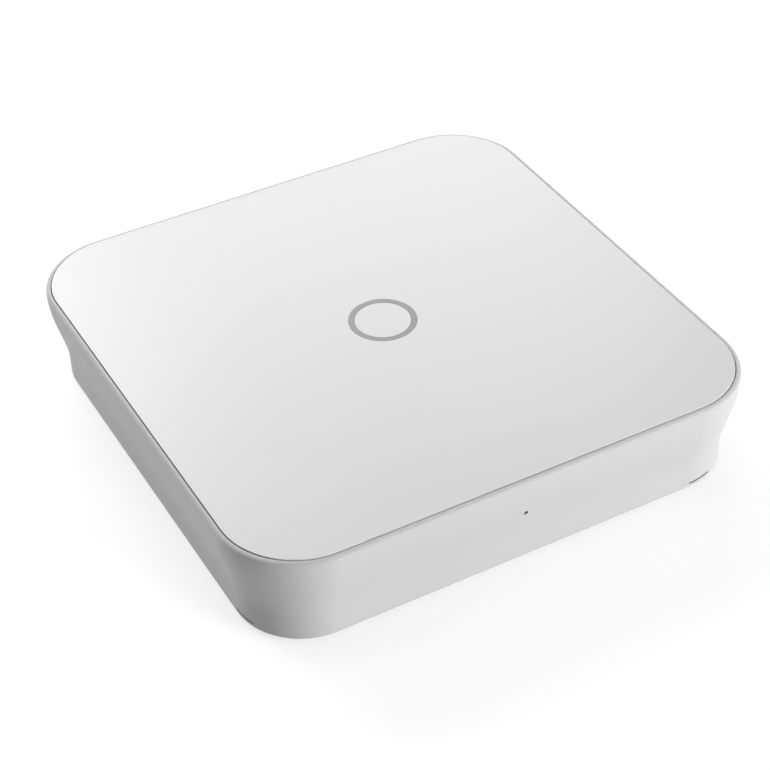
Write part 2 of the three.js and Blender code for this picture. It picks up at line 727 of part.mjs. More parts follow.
function addPowerJack() {
  const shell = block(power.width, power.depth, power.height, 0, -power.depth / 2, 0);
  const centreZ = power.height / 2;
  const bore = rodAlongY(power.boreRadius, -power.boreDepth, through, 0, centreZ);
  const pin = rodAlongY(power.pinRadius, -power.boreDepth - through, -through, 0, centreZ, detail.smallRound);
  const hollow = combine(shell, [], [bore]);
  addPiece('power_jack', combine(hollow, [pin], []), look.blackPlastic(), power.x, bayFloorY, seatZ);
}

// The knob rests at the left end of its slot and slides to the right.
function addPowerSwitch() {
  const shell = block(slider.width, slider.depth, slider.height, 0, -slider.depth / 2, 0);
  const slotWidth = slider.knobWidth + slider.travel + 2 * clearance.fit;
  const slotHeight = slider.knobHeight + 2 * clearance.fit;
  const slotDeep = slider.knobIn + clearance.fit + through;
  const slotZ = (slider.height - slotHeight) / 2;
  const slot = block(slotWidth, slotDeep, slotHeight, 0, through - slotDeep / 2, slotZ);
  addPiece('power_switch', combine(shell, [], [slot]), look.steel(), slider.x, bayFloorY, seatZ);

  const knobDeep = slider.knobOut + slider.knobIn;
  const knobY = bayFloorY + slider.knobOut - knobDeep / 2;
  const knobZ = seatZ + (slider.height - slider.knobHeight) / 2;
  const knob = block(slider.knobWidth, knobDeep, slider.knobHeight, 0, 0, 0);
  addPiece('power_knob', knob, look.blackPlastic(), slider.x - slider.travel / 2, knobY, knobZ);
}

// ---------------------------------------------------------------- reset switch behind the pinhole

// A small upright board carries a side-facing switch; its plunger points at the pinhole.
function addResetSwitch() {
  const reset = resetSwitch;
  const wallY = -cavityHalf;
  const boardY = wallY + reset.setBack;
  const uprightTop = pinholeZ + reset.boardOver;
  const upright = block(reset.boardWidth, reset.boardThickness, uprightTop - seatZ, 0, 0, 0);
  addPiece('reset_board', upright, look.board(), 0, boardY + reset.boardThickness / 2, seatZ);

  const backY = boardY - clearance.contact;
  const frontY = backY - reset.depth;
  const room = reset.travel + reset.collarThickness + 2 * clearance.fit;
  const collarRadius = reset.collar + clearance.fit;
  const shellY = backY - reset.depth / 2;
  const shell = block(reset.size, reset.depth, reset.size, 0, shellY, pinholeZ - reset.size / 2);
  const chamberFront = frontY + clearance.loose;
  const chamber = rodAlongY(collarRadius, chamberFront, chamberFront + room, 0, pinholeZ, detail.smallRound);
  const boreBack = chamberFront + through / 2;
  const bore = rodAlongY(reset.bore, frontY - through, boreBack, 0, pinholeZ, detail.smallRound);
  const hollow = combine(chamber, [bore], []);
  addPiece('reset_switch', combine(shell, [], [hollow]), look.steel());

  const collarFront = chamberFront + clearance.contact;
  const stemFront = frontY - reset.stemOut;
  const collarShape = rodAlongY(reset.collar, collarFront, collarFront + reset.collarThickness, 0, 0);
  const stem = rodAlongY(reset.stemRadius, stemFront, collarFront + reset.collarThickness / 2, 0, 0);
  addPiece('reset_plunger', combine(collarShape, [stem], []), look.blackPlastic(), 0, 0, pinholeZ);
}

// ---------------------------------------------------------------- antennas, battery and sounder

function addAntennas() {
  const innerX = cavityHalf - clearance.loose;
  const middleZ = antenna.bottom + antenna.height / 2;
  const sides = [
    { name: 'left', side: -1, place: radio },
    { name: 'right', side: 1, place: wifi },
  ];
  sides.forEach(({ name, side, place }) => {
    const strip = block(antenna.thickness, antenna.length, antenna.height, 0, 0, antenna.bottom);
    const x = side * (innerX - antenna.thickness / 2);
    addPiece(`antenna_${name}`, strip, look.gold(), x, antenna.y, 0);

    const startX = side * (innerX - antenna.thickness - clearance.fit);
    const endX = place.x + side * (place.width / 2 + clearance.fit);
    const endZ = seatZ + lead.radius + clearance.fit;
    const coax = tubeAlong([
      [startX, antenna.y, middleZ],
      [startX - side * lead.straight, antenna.y, middleZ],
      [startX - side * 2 * lead.straight, (antenna.y + place.y) / 2, (middleZ + endZ) / 2],
      [endX + side * lead.straight, place.y, endZ],
      [endX, place.y, endZ],
    ]);
    addPiece(`antenna_lead_${name}`, coax, look.wire());
  });
}

function addBattery() {
  const padZ = coverTopZ + clearance.contact;
  const packZ = padZ + batteryPad.thickness + clearance.contact;
  const padWidth = battery.width - 2 * batteryPad.inset;
  const padDepth = battery.depth - 2 * batteryPad.inset;
  const pad = block(padWidth, padDepth, batteryPad.thickness, 0, 0, 0);
  addPiece('battery_pad', pad, look.foam(), batteryX, battery.y, padZ);

  const x = battery.width / 2 - battery.corner;
  const y = battery.depth / 2 - battery.corner;
  const outline = new THREE.Shape();
  outline.absarc(x, y, battery.corner, 0, quarterTurn);
  outline.absarc(-x, y, battery.corner, quarterTurn, halfTurn);
  outline.absarc(-x, -y, battery.corner, halfTurn, 3 * quarterTurn);
  outline.absarc(x, -y, battery.corner, 3 * quarterTurn, 4 * quarterTurn);
  addPiece('battery_pack', slab(outline, 0, battery.height), look.cell(), batteryX, battery.y, packZ);

  const socket = block(plug.width, plug.depth, plug.height, 0, 0, 0);
  addPiece('battery_socket', socket, look.ivory(), plug.x, plug.y, seatZ);
  const startX = batteryX + battery.width / 2 + clearance.fit;
  const startZ = packZ + battery.height - 2 * lead.radius;
  const endX = plug.x - plug.width / 2 - clearance.fit;
  const endZ = seatZ + plug.height / 2;
  const wires = tubeAlong([
    [startX, battery.y, startZ],
    [startX + lead.straight, battery.y, startZ],
    [endX - lead.straight, plug.y, endZ],
    [endX, plug.y, endZ],
  ], lead.pairRadius);
  addPiece('battery_lead', wires, look.wire());
}

function addSounder() {
  const top = deckBottomZ - clearance.fit;
  const rimRadius = sounder.radius - sounder.rimWidth;
  const shape = turned([
    [0, top - sounder.height + sounder.rimHeight],
    [rimRadius, top - sounder.height + sounder.rimHeight],
    [rimRadius, top - sounder.height],
    [sounder.radius, top - sounder.height],
    [sounder.radius, top],
    [0, top],
  ]);
  addPiece('sounder', shape, look.blackPlastic(), sounder.x, sounder.y, 0);
}

addHousing();
addPanel();
addLightRing();
addRingLamps();
addBottomCover();
addFeet();
addCaseScrews();
addMainBoard();
addProcessor();
addModule('radio', radio);
addModule('wifi', wifi);
addPowerParts();
addEthernetJack();
addUsbPort();
addPowerJack();
addPowerSwitch();
addResetSwitch();
addAntennas();
addBattery();
addSounder();

export default hub;
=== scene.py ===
import json
import math
import bmesh
import bpy
from mathutils import Matrix, Vector


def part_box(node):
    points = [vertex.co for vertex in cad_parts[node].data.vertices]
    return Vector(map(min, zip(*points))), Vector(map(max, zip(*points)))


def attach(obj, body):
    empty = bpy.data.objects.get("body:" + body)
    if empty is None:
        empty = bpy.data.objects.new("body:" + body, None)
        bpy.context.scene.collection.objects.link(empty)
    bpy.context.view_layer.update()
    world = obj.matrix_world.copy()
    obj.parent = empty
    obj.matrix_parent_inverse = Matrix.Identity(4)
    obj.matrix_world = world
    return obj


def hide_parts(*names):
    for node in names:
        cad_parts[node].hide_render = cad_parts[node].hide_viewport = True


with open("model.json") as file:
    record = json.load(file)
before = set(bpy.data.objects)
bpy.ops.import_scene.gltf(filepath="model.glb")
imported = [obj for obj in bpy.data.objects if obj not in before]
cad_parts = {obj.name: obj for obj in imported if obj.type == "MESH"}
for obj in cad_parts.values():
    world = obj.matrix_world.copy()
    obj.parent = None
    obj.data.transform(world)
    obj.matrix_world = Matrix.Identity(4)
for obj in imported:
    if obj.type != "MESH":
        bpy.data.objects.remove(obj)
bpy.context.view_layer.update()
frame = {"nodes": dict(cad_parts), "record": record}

mm = 0.001
tiny = 1e-6
print("frame loaded:", len(frame["nodes"]), "nodes")

housingLow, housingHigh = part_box("housing")
panelLow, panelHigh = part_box("top_panel")
ringLow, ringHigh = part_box("light_ring")
discLow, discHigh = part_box("ring_center")
topZ = panelHigh.z
undersideZ = housingLow.z
rimHalf = housingHigh.x
panelHalf = panelHigh.x
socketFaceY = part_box("ethernet_jack")[1].y

caseValues = {
    "cornerRadius": 22.4 * mm,    # of the rim; every rounded outline of the case shares its centre
    "ringReach": 1.75 * mm,       # from the middle disc's edge to the ring's outside
}
cornerCentre = rimHalf - caseValues["cornerRadius"]
ringOuter = discHigh.x + caseValues["ringReach"]


def middleOf(node):
    low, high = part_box(node)
    return (low + high) / 2


cameraValues = {
    "place": (-2.776, -5.214, 4.519),   # from the middle of the panel, in half panel widths
    "azimuth": 28.05,
    "elevation": 39.27,
    "roll": -1.49,
    "lens": 94.3,
    "sensor": 36.0,
}


def addCamera(values):
    azimuth, elevation = math.radians(values["azimuth"]), math.radians(values["elevation"])
    forward = Vector((
        math.sin(azimuth) * math.cos(elevation),
        math.cos(azimuth) * math.cos(elevation),
        -math.sin(elevation),
    ))
    level = forward.cross(Vector((0, 0, 1))).normalized()
    upward = level.cross(forward)
    roll = math.radians(values["roll"])
    right = level * math.cos(roll) + upward * math.sin(roll)
    up = upward * math.cos(roll) - level * math.sin(roll)
    turn = Matrix((right, up, -forward)).transposed().to_4x4()
    data = bpy.data.cameras.new("camera")
    data.lens = values["lens"]
    data.sensor_width = values["sensor"]
    camera = bpy.data.objects.new("camera", data)
    bpy.context.scene.collection.objects.link(camera)
    place = Vector(values["place"]) * panelHalf + Vector((0, 0, topZ))
    camera.matrix_world = Matrix.Translation(place) @ turn
    bpy.context.scene.camera = camera


lightValues = {
    "backdrop": 1.0,        # how bright the studio is beyond the floor
    "distance": 1.2,
    "unmirrored": ("frontRight", "frontLow", "right", "frontHigh", "backLow"),   # not seen in the gloss
    "areas": {
        # name: (direction round from +X, height angle, size, power), each aimed at the hub
        "frontRight": (-60, 15, 0.6, 15.3),
        "frontLow": (-60, 8, 0.6, 4.4),
        "right": (-45, 15, 0.6, 4.6),
        "frontHigh": (-50, 40, 0.5, 1.6),
        "backLeft": (150, 45, 0.5, 2.4),
        "back": (90, 37, 0.5, 6.0),
        "backMiddle": (108, 30, 0.5, 5.5),
        "backLow": (120, 22, 0.5, 6.3),
        "backRight": (60, 30, 0.5, 3.1),
        "top": (0, 89, 0.8, 4.4),
    },
}


def addLights(values):
    scene = bpy.context.scene
    scene.view_settings.view_transform = "Standard"
    world = bpy.data.worlds.new("studio")
    scene.world = world
    world.use_nodes = True
    background = world.node_tree.nodes["Background"]
    background.inputs["Strength"].default_value = values["backdrop"]
    background.inputs["Color"].default_value = (1, 1, 1, 1)
    for ray in ("diffuse", "glossy", "transmission", "scatter"):
        setattr(world.cycles_visibility, ray, False)
    for name, (around, height, size, power) in values["areas"].items():
        data = bpy.data.lights.new(name, "AREA")
        data.shape = "SQUARE"
        data.size = size
        data.energy = power
        light = bpy.data.objects.new(name, data)
        around, height = math.radians(around), math.radians(height)
        level = math.cos(height)
        light.location = values["distance"] * Vector((
            math.cos(around) * level, math.sin(around) * level, math.sin(height)))
        light.rotation_euler = (-light.location).to_track_quat("-Z", "Y").to_euler()
        light.visible_glossy = name not in values["unmirrored"]
        scene.collection.objects.link(light)


# A shader value; Python arithmetic on it adds the Math nodes.
class Value:
    def __init__(self, look, socket):
        self.look = look
        self.socket = socket

    def math(self, operation, first, second=0.0):
        return self.look.node("ShaderNodeMath", {"operation": operation}, {0: first, 1: second})

    def __add__(self, other):
        return self.math("ADD", self, other)

    def __sub__(self, other):
        return self.math("SUBTRACT", self, other)

    def __mul__(self, other):
        return self.math("MULTIPLY", self, other)

    def __lt__(self, other):
        return self.math("LESS_THAN", self, other)

    def __abs__(self):
        return self.math("ABSOLUTE", self)

    __radd__ = __add__


# One material. Its even values are set on the shader, and node() makes every other node.
class Look:
    sockets = {"metallic": "Metallic", "coat": "Coat Weight", "specular": "Specular IOR Level"}

    def __init__(self, name, **even):
        self.material = bpy.data.materials.new(name)
        self.material.use_nodes = True
        self.tree = self.material.node_tree
        self.shader = self.tree.nodes["Principled BSDF"]
        for key, amount in even.items():
            self.shader.inputs[self.sockets[key]].default_value = amount

    def node(self, kind, settings=None, inputs=None, output=0):
        node = self.tree.nodes.new(kind)
        for key, setting in (settings or {}).items():
            if key == "stops":
                for element, (place, shade) in zip(node.color_ramp.elements, setting):
                    element.position = place
                    element.color = (shade, shade, shade, 1)
            else:
                setattr(node, key, setting)
        for key, given in (inputs or {}).items():
            self.feed(node.inputs[key], given)
        return Value(self, node.outputs[output])

    def feed(self, socket, given):
        if isinstance(given, Value):
            self.tree.links.new(given.socket, socket)
        elif socket.type == "RGBA":
            socket.default_value = (*given, 1)
        else:
            socket.default_value = given

    def wear(self, inputs):
        for name, given in inputs.items():
            self.feed(self.shader.inputs[name], given)
        return self.material

    def place(self):
        return self.node("ShaderNodeTexCoord", output="Object")

    def placeAlong(self, axis):
        return self.node("ShaderNodeSeparateXYZ", {}, {0: self.place()}, axis)

    def noise(self, size, detail=2.0, roughness=0.5, stretch=(1, 1, 1)):
        vector = self.node("ShaderNodeMapping", {}, {"Vector": self.place(), "Scale": stretch})
        return self.node("ShaderNodeTexNoise", {}, {
            "Vector": vector, "Scale": 1 / size, "Detail": detail, "Roughness": roughness,
        }, "Fac")

    def blend(self, factor, first, second):
        return self.node("ShaderNodeMix", {"data_type": "RGBA"}, {0: factor, 6: first, 7: second}, 2)

    def bump(self, height, strength, distance):
        return self.node("ShaderNodeBump", {}, {
            "Height": height, "Strength": strength, "Distance": distance,
        })


def grey(level):
    return (level, level, level)


def tint(color, factor):
    return tuple(min(1.0, part * factor) for part in color)


grainValues = {
    "cloud": 35 * mm,           # clouds in moulded plastic
    "sheetLine": 0.28 * mm,     # rolling lines on metal
    "stain": 14 * mm,
    "boardGrain": 1.2 * mm,
    "trackScale": 300.0,        # tracks to a metre on a printed board
    "dust": 9 * mm,
    "print": 0.8 * mm,
    "shallow": 0.01 * mm,       # depth of the finest grain
}


# Moulded plastic: a faint cloudiness in the colour and a fine spark-eroded grain.
def mouldedPlastic(name, color, roughness, grain, grainSize=0.35 * mm, **even):
    look = Look(name, **even)
    cloud = look.noise(grainValues["cloud"], 3)
    speck = look.noise(grainSize, 2, 0.6)
    return look.wear({
        "Base Color": look.blend(cloud, tint(color, 0.985), tint(color, 1.015)),
        "Roughness": roughness - 0.04 + cloud * 0.05 + speck * 0.03,
        "Normal": look.bump(speck, grain, grainValues["shallow"]),
    })


# Rolled or plated sheet: fine lines along its length, with a few stains.
def rolledMetal(name, color, roughness, stretch=(0.03, 1, 1)):
    look = Look(name, metallic=1.0)
    line = look.noise(grainValues["sheetLine"], 4, 0.7, stretch)
    stain = look.noise(grainValues["stain"], 3)
    return look.wear({
        "Base Color": look.blend(line * 0.6 + stain * 0.4, tint(color, 0.86), tint(color, 1.1)),
        "Roughness": roughness - 0.08 + line * 0.14 + stain * 0.08,
        "Normal": look.bump(line, 0.25, grainValues["shallow"]),
    })


# A printed board: green mask, with the copper tracks paler and raised under it.
def boardMask(name, color):
    look = Look(name, coat=0.3)
    cells = look.node("ShaderNodeTexVoronoi", {"distance": "MANHATTAN", "feature": "F1"}, {
        "Vector": look.place(), "Scale": grainValues["trackScale"], "Randomness": 0.85,
    }, "Distance")
    track = look.node("ShaderNodeValToRGB", {"stops": [(0.42, 0), (0.5, 1)]}, {0: cells})
    grain = look.noise(grainValues["boardGrain"])
    return look.wear({
        "Base Color": look.blend(track * 0.5, color, tint(color, 2.4)),
        "Roughness": 0.32 + grain * 0.12,
        "Normal": look.bump(cells, 0.3, 0.03 * mm),
    })


# Rubber or foam: dull, with an open grain and a little dust on it.
def dullRubber(name, color, grainSize, roughness=0.85, depth=0.04 * mm):
    look = Look(name, specular=0.35)
    grain = look.noise(grainSize, 3, 0.65)
    dust = look.noise(grainValues["dust"])
    return look.wear({
        "Base Color": look.blend(dust, tint(color, 0.8), tint(color, 1.35)),
        "Roughness": roughness - 0.05 + grain * 0.1,
        "Normal": look.bump(grain, 0.6, depth),
    })


# Film, wire covering or a lamp's window: smooth, with long waves and a soft gloss.
def smoothFilm(name, color, roughness, wave=12 * mm):
    look = Look(name, coat=0.25)
    swell = look.noise(wave)
    return look.wear({
        "Base Color": look.blend(swell, tint(color, 0.92), tint(color, 1.1)),
        "Roughness": roughness + swell * 0.08,
        "Normal": look.bump(swell, 0.3, 0.1 * mm),
    })


labelValues = {
    "margin": 1.6 * mm,
    "line": 0.14 * mm,
    "divider": 0.3,         # place of the two dividing lines, in half depths from the middle
    "soft": 0.06 * mm,
}


# The blank rating plate: printed film with a border line and two dividing lines.
def printedPlate(name, color, ink):
    look = Look(name, coat=0.15)
    low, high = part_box("rating_plate")
    centre, half = (low + high) / 2, (high - low) / 2
    besideX, besideY = abs(look.placeAlong(0) - centre.x), abs(look.placeAlong(1) - centre.y)
    margin, line = labelValues["margin"], labelValues["line"]
    inside = (besideX < half.x - margin) * (besideY < half.y - margin)
    within = (besideX < half.x - margin - line) * (besideY < half.y - margin - line)
    divider = (abs(besideY - half.y * labelValues["divider"]) < line / 2) * within
    lines = inside - within + divider
    grain = look.noise(grainValues["print"], 3)
    return look.wear({
        "Base Color": look.blend(lines * 0.85, color, ink),
        "Roughness": 0.5 + grain * 0.12 - lines * 0.1,
        "Normal": look.bump(grain, 0.15, 0.02 * mm),
    })


looks = {
    "shell_white": mouldedPlastic("shell_white", grey(0.355), 0.58, 0.25, specular=0.3),
    "panel_white": mouldedPlastic("panel_white", grey(0.44), 0.30, 0.12),
    "ring_grey": mouldedPlastic("ring_grey", grey(0.19), 0.40, 0.10),
    "cover_white": mouldedPlastic("cover_white", grey(0.40), 0.62, 0.8, 0.5 * mm),
    "foot_rubber": dullRubber("foot_rubber", (0.05, 0.052, 0.055), 0.25 * mm),
    "label_white": printedPlate("label_white", (0.62, 0.62, 0.61), grey(0.1)),
    "tape_black": dullRubber("tape_black", grey(0.02), 0.3 * mm),
    "board_green": boardMask("board_green", (0.015, 0.1, 0.045)),
    "black_plastic": mouldedPlastic("black_plastic", (0.014, 0.014, 0.016), 0.45, 0.5, 0.2 * mm),
    "lamp_plastic": smoothFilm("lamp_plastic", (0.85, 0.82, 0.68), 0.2),
    "pad_grey": dullRubber("pad_grey", (0.3, 0.38, 0.46), 0.4 * mm, 0.75),
    "ribbon_plastic": smoothFilm("ribbon_plastic", (0.7, 0.73, 0.76), 0.4),
    "wire_black": smoothFilm("wire_black", (0.016, 0.016, 0.018), 0.42),
    "cell_blue": smoothFilm("cell_blue", (0.04, 0.14, 0.38), 0.3),
    "foam_grey": dullRubber("foam_grey", grey(0.07), 0.6 * mm, 0.95, 0.1 * mm),
    "ivory_plastic": mouldedPlastic("ivory_plastic", (0.8, 0.75, 0.6), 0.42, 0.3),
    "steel": rolledMetal("steel", (0.6, 0.61, 0.62), 0.36),
    "aluminium": rolledMetal("aluminium", (0.66, 0.67, 0.69), 0.42),
    "gold": rolledMetal("gold", (0.8, 0.58, 0.24), 0.3),
}
print("finishes made:", len(looks))


def dressFrame():
    for part in frame["record"]["subparts"]:
        node = frame["nodes"][part["node"]]
        for place in node.material_slots:
            place.material = looks[part["material_slot"]]


def settle(name):
    piece = bpy.context.object
    piece.name = piece.data.name = name
    bpy.ops.object.transform_apply(location=True, rotation=True, scale=True)
    return piece


def addCube(name, low, high):
    bpy.ops.object.select_all(action="DESELECT")
    low, high = Vector(low), Vector(high)
    bpy.ops.mesh.primitive_cube_add(size=1, location=(low + high) / 2, scale=high - low)
    return settle(name)


def addCylinder(name, radius, low, high, axis="z", sides=48):
    bpy.ops.object.select_all(action="DESELECT")
    low, high = Vector(low), Vector(high)
    turn = (math.pi / 2, 0, 0) if axis == "y" else (0, 0, 0)
    bpy.ops.mesh.primitive_cylinder_add(
        vertices=sides, radius=radius, depth=(high - low).length, location=(low + high) / 2, rotation=turn)
    return settle(name)


def only(piece):
    bpy.ops.object.select_all(action="DESELECT")
    bpy.context.view_layer.objects.active = piece
    piece.select_set(True)


def edit(piece):
    only(piece)
    bpy.ops.object.mode_set(mode="EDIT")


def leave():
    bpy.ops.object.mode_set(mode="OBJECT")


def pick(piece, kind, test):
    bpy.context.tool_settings.mesh_select_mode = (kind == "verts", kind == "edges", kind == "faces")
    shape = bmesh.from_edit_mesh(piece.data)
    for group in (shape.verts, shape.edges, shape.faces):
        for item in group:
            item.select = False
    for item in getattr(shape, kind):
        if test(item):
            item.select_set(True)
    bmesh.update_edit_mesh(piece.data)


def facing(axis, sign):
    return lambda face: face.normal[axis] * sign > 0.9


def runsAlong(axis):
    def test(edge):
        run = edge.verts[1].co - edge.verts[0].co
        run[axis] = 0
        return run.length < tiny
    return test


def roundEdges(piece, axis, radius, steps):
    pick(piece, "edges", runsAlong(axis))
    bpy.ops.mesh.bevel(offset=radius, offset_type="OFFSET", segments=steps, profile=0.5, affect="EDGES")


# Moves the chosen face inwards and along its normal, leaving a wall behind it.
def stepFace(inward, along):
    if inward > tiny:
        bpy.ops.mesh.inset(thickness=inward, depth=along, use_even_offset=True)
    else:
        bpy.ops.mesh.extrude_region_shrink_fatten(
            TRANSFORM_OT_shrink_fatten={"value": along, "use_even_offset": False})


def roundFace(radius, steps, rise=None):
    last = (0.0, 0.0)
    for step in range(1, steps + 1):
        angle = step / steps * math.pi / 2
        here = (radius * (1 - math.cos(angle)), (rise or radius) * math.sin(angle))
        stepFace(here[0] - last[0], here[1] - last[1])
        last = here


def applyAll(piece):
    only(piece)
    for modifier in list(piece.modifiers):
        bpy.ops.object.modifier_apply(modifier=modifier.name)


def carve(piece, cutter, operation="DIFFERENCE"):
    cut = piece.modifiers.new("cut", "BOOLEAN")
    cut.operation = operation
    cut.solver = "EXACT"
    cut.object = cutter
    applyAll(piece)
    bpy.data.objects.remove(cutter, do_unlink=True)


def addRoundedCube(name, low, high, axis, radius, steps=4):
    block = addCube(name, low, high)
    edit(block)
    roundEdges(block, axis, radius, steps)
    leave()
    return block


def softenEdges(piece, width, steps=2, angle=40):
    soft = piece.modifiers.new("soft", "BEVEL")
    soft.width = width
    soft.segments = steps
    soft.limit_method = "ANGLE"
    soft.angle_limit = math.radians(angle)
    applyAll(piece)


def copyTo(piece, name, shift):
    only(piece)
    bpy.ops.object.duplicate(linked=False)
    twin = bpy.context.object
    twin.location = shift
    return settle(name)


def joinAll(pieces, name):
    only(pieces[0])
    for piece in pieces:
        piece.select_set(True)
    bpy.ops.object.join()
    return settle(name)


def finishPiece(piece, body, slot, *nodes, angle=32):
    only(piece)
    bpy.ops.object.shade_smooth_by_angle(angle=math.radians(angle))
    level = piece.modifiers.new("level", "WEIGHTED_NORMAL")
    level.keep_sharp = True
    level.weight = 100
    applyAll(piece)
    piece.data.materials.clear()
    piece.data.materials.append(looks[slot])
    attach(piece, body)
    if nodes:
        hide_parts(*nodes)
    return piece


housingValues = {
    "cornerSteps": 28,
    "coveDepth": 3.75 * mm,
    "coveStart": 2.2 * mm,
    "coveLength": 21.5 * mm,
    "coveSteps": 26,
    "footRound": 0.6 * mm,
    "rimRoll": 1.1 * mm,
    "rimLand": 0.15 * mm,
    "rimDrop": 0.25 * mm,
    "rimSteps": 6,
    "groove": 0.25 * mm,
    "recess": 2.3 * mm,
    "deck": 1.8 * mm,
    "wall": 2.4 * mm,
    "slitLength": 7.0 * mm,
    "slitHeight": 0.6 * mm,
    "slitDepth": 1.6 * mm,
    "slitAbove": 1.2 * mm,
    "slitTurn": 11,
    "pinhole": 0.68 * mm,
    "bayHalf": 39 * mm,
    "bayLow": 5.6 * mm,
    "bayHigh": 23.2 * mm,
    "bayCorner": 1.6 * mm,
    "bayLip": 0.35 * mm,
    "bayWall": 2 * mm,
    "socketGap": 0.3 * mm,
    "socketCorner": 0.4 * mm,
}


def smoothStep(share):
    return share * share * (3 - 2 * share)


def makeHousing(values):
    coveTop = topZ - values["coveStart"]
    rollZ = topZ - values["rimDrop"] - values["rimRoll"]
    shell = addCube("housing_shell", (-rimHalf, -rimHalf, coveTop), (rimHalf, rimHalf, rollZ))
    edit(shell)
    roundEdges(shell, 2, rimHalf - cornerCentre, values["cornerSteps"])

    # upwards: the rolled rim, the narrow land beside the groove, and the recess for the panel
    pick(shell, "faces", facing(2, 1))
    landHalf = panelHalf + values["groove"] + values["rimLand"]
    last = (rimHalf, 0.0)
    for step in range(1, values["rimSteps"] + 1):
        angle = step / values["rimSteps"] * math.pi / 2
        here = (landHalf + (rimHalf - landHalf) * math.cos(angle), values["rimRoll"] * math.sin(angle))
        stepFace(last[0] - here[0], here[1] - last[1])
        last = here
    stepFace(values["rimLand"], 0)
    stepFace(0, values["rimDrop"] - values["recess"])

    # downwards: the cove, the foot with its rounded edge, and the hollow
    pick(shell, "faces", facing(2, -1))
    for step in range(values["coveSteps"]):
        share, after = 1 - step / values["coveSteps"], 1 - (step + 1) / values["coveSteps"]
        drawIn = values["coveDepth"] * (smoothStep(share) - smoothStep(after))
        stepFace(drawIn, values["coveLength"] / values["coveSteps"])
    stepFace(0, coveTop - values["coveLength"] - undersideZ - values["footRound"])
    roundFace(values["footRound"], 4)
    stepFace(values["wall"] - values["footRound"], 0)
    deckLow = topZ - values["recess"] - values["deck"]
    stepFace(0, undersideZ - deckLow)
    leave()

    addSocketBay(shell, values, deckLow)
    addFootSlits(shell, values)
    pinZ = middleOf("reset_plunger").z
    outside, inside = (0, -rimHalf, pinZ), (0, -cornerCentre, pinZ)
    carve(shell, addCylinder("cut", values["pinhole"], outside, inside, "y", 32))
    hole = ringOuter + values["socketGap"]
    carve(shell, addCylinder("cut", hole, (0, 0, deckLow - mm), (0, 0, topZ), sides=64))
    return finishPiece(shell, "hub_body", "shell_white", "housing")


def addSocketBay(shell, values, deckLow):
    innerY = socketFaceY - values["bayWall"]
    wide, low, high = values["bayHalf"], values["bayLow"], values["bayHigh"]
    side = wide + values["bayWall"]
    carve(shell, addCube("cut", (-side, innerY, low - values["bayWall"]),
                         (side, socketFaceY + values["bayWall"], deckLow + mm / 2)), "UNION")
    carve(shell, addRoundedCube("cut", (-wide, socketFaceY, low), (wide, rimHalf + mm, high),
                                1, values["bayCorner"], 6))
    gap = Vector((values["socketGap"], 0, values["socketGap"]))
    past = Vector((0, mm, 0))
    for node in ("ethernet_jack", "usb_port", "power_jack", "power_switch"):
        boxLow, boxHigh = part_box(node)
        carve(shell, addRoundedCube("cut", boxLow - gap, boxHigh + gap + past, 1, values["socketCorner"]))
    edit(shell)
    pick(shell, "edges", lambda edge: onBayLip(edge, wide, low, high))
    bpy.ops.mesh.bevel(offset=values["bayLip"], segments=3, profile=0.5, affect="EDGES")
    leave()


def onBayLip(edge, wide, low, high):
    for vert in edge.verts:
        x, y, z = vert.co
        if y < socketFaceY + 2 * mm or abs(x) > wide + tiny or not low - tiny < z < high + tiny:
            return False
    return len(edge.link_faces) == 2 and edge.calc_face_angle(0) > math.radians(30)


# One slit at the foot of each corner, where its arc begins.
def addFootSlits(shell, values):
    past = mm
    reach = rimHalf - values["coveDepth"] - cornerCentre + (past - values["slitDepth"]) / 2
    size = (values["slitDepth"] + past, values["slitLength"], values["slitHeight"])
    for corner in range(4):
        quarter = corner * math.pi / 2
        aim = quarter + math.radians(values["slitTurn"])
        spot = Matrix.Rotation(quarter, 4, "Z") @ Vector((cornerCentre, cornerCentre, 0))
        spot += Matrix.Rotation(aim, 4, "Z") @ Vector((reach, 0, 0))
        spot.z = undersideZ + values["slitAbove"] + values["slitHeight"] / 2
        bpy.ops.object.select_all(action="DESELECT")
        bpy.ops.mesh.primitive_cube_add(size=1, location=spot, rotation=(0, 0, aim), scale=size)
        carve(shell, settle("cut"))


panelValues = {
    "cornerSteps": 28,
    "edge": 0.12 * mm,
    "ringGap": 0.04 * mm,
}


def makePanel(values):
    plate = addCube("panel_plate", panelLow, (panelHalf, panelHalf, topZ - values["edge"]))
    edit(plate)
    roundEdges(plate, 2, panelHalf - cornerCentre, values["cornerSteps"])
    pick(plate, "faces", facing(2, 1))
    roundFace(values["edge"], 3)
    leave()
    hole = ringOuter + values["ringGap"]
    carve(plate, addCylinder("cut", hole, (0, 0, panelLow.z - mm), (0, 0, topZ + mm), sides=160))
    return finishPiece(plate, "hub_body", "panel_white", "top_panel")


ringValues = {
    "width": 1.65 * mm,
    "flange": 1.2 * mm,
    "dish": 1.75 * mm,      # the middle disc sits in this hollow
    "lightWell": 2.5 * mm,
    "edge": 0.05 * mm,
}


